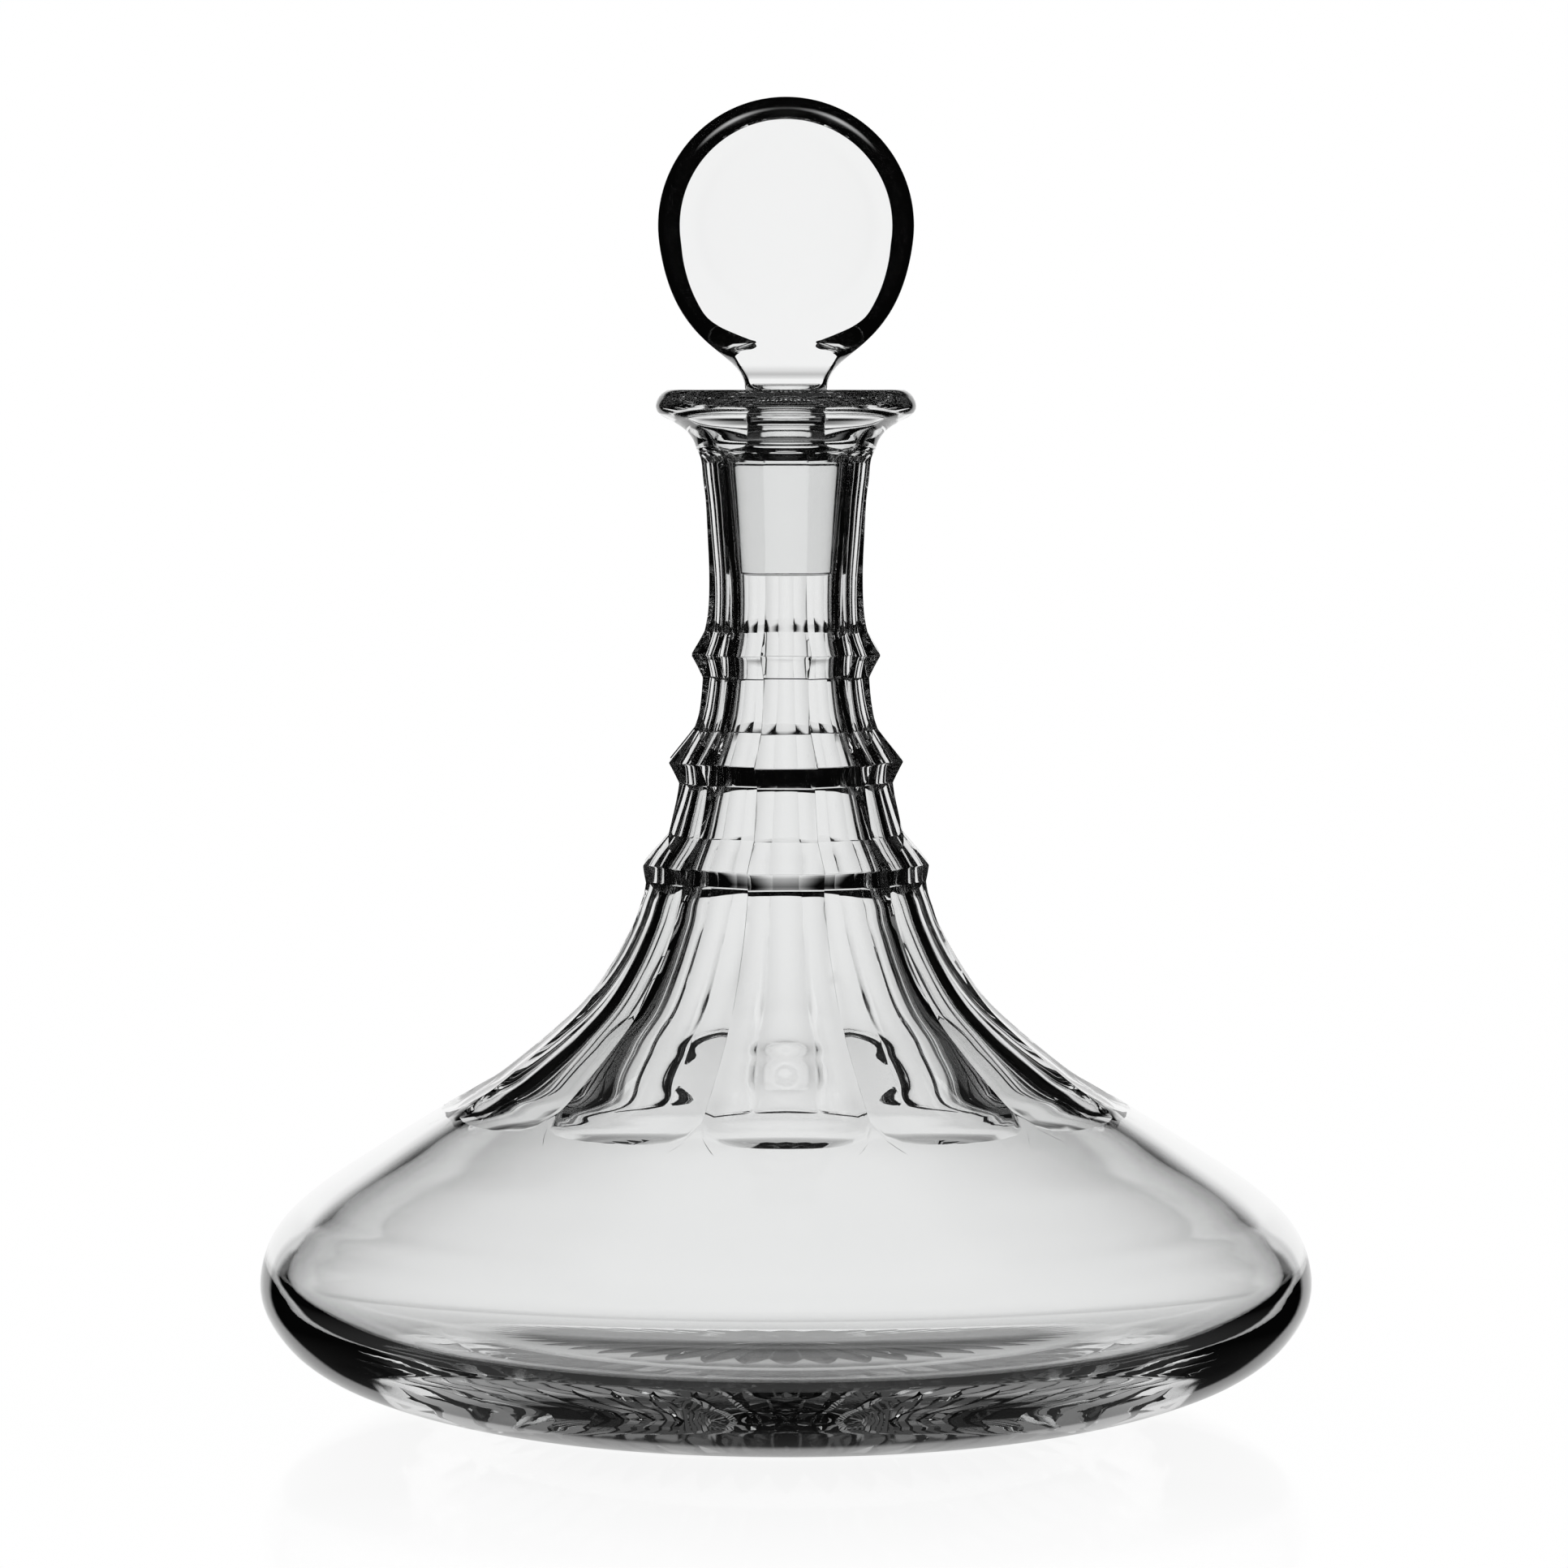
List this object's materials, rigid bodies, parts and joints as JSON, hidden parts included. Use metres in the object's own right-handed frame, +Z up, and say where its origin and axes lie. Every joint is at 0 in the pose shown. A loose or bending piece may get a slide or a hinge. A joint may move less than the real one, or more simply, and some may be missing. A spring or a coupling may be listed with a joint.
{
  "type": "stoppered wine decanter",
  "caption": "Broad, low cut-crystal ship's decanter with a panel-cut, ringed neck, a flared lip, a star-cut base and a lift-out bull's-eye disc stopper.",
  "frame": {"origin": "centre of the foot ring, in the plane it rests on", "axes": "+Z up the decanter's axis; -Y is the front, the way one face of the stopper's disc looks; +X to the right seen from the front"},
  "size_m": [0.21, 0.21, 0.2603],
  "materials": {
    "crystal_body": "clear, polished cut crystal",
    "crystal_stopper": "clear, polished solid crystal with a smooth tapered plug"
  },
  "bodies": {
    "decanter": {"decanter_body": "crystal_body"},
    "stopper": {"stopper": "crystal_stopper"}
  },
  "joints": [
    {"name": "stopper_lift", "type": "slide", "parent": "decanter", "child": "stopper", "axis": [0, 0, 1], "range_m": [0, 0.06]}
  ]
}
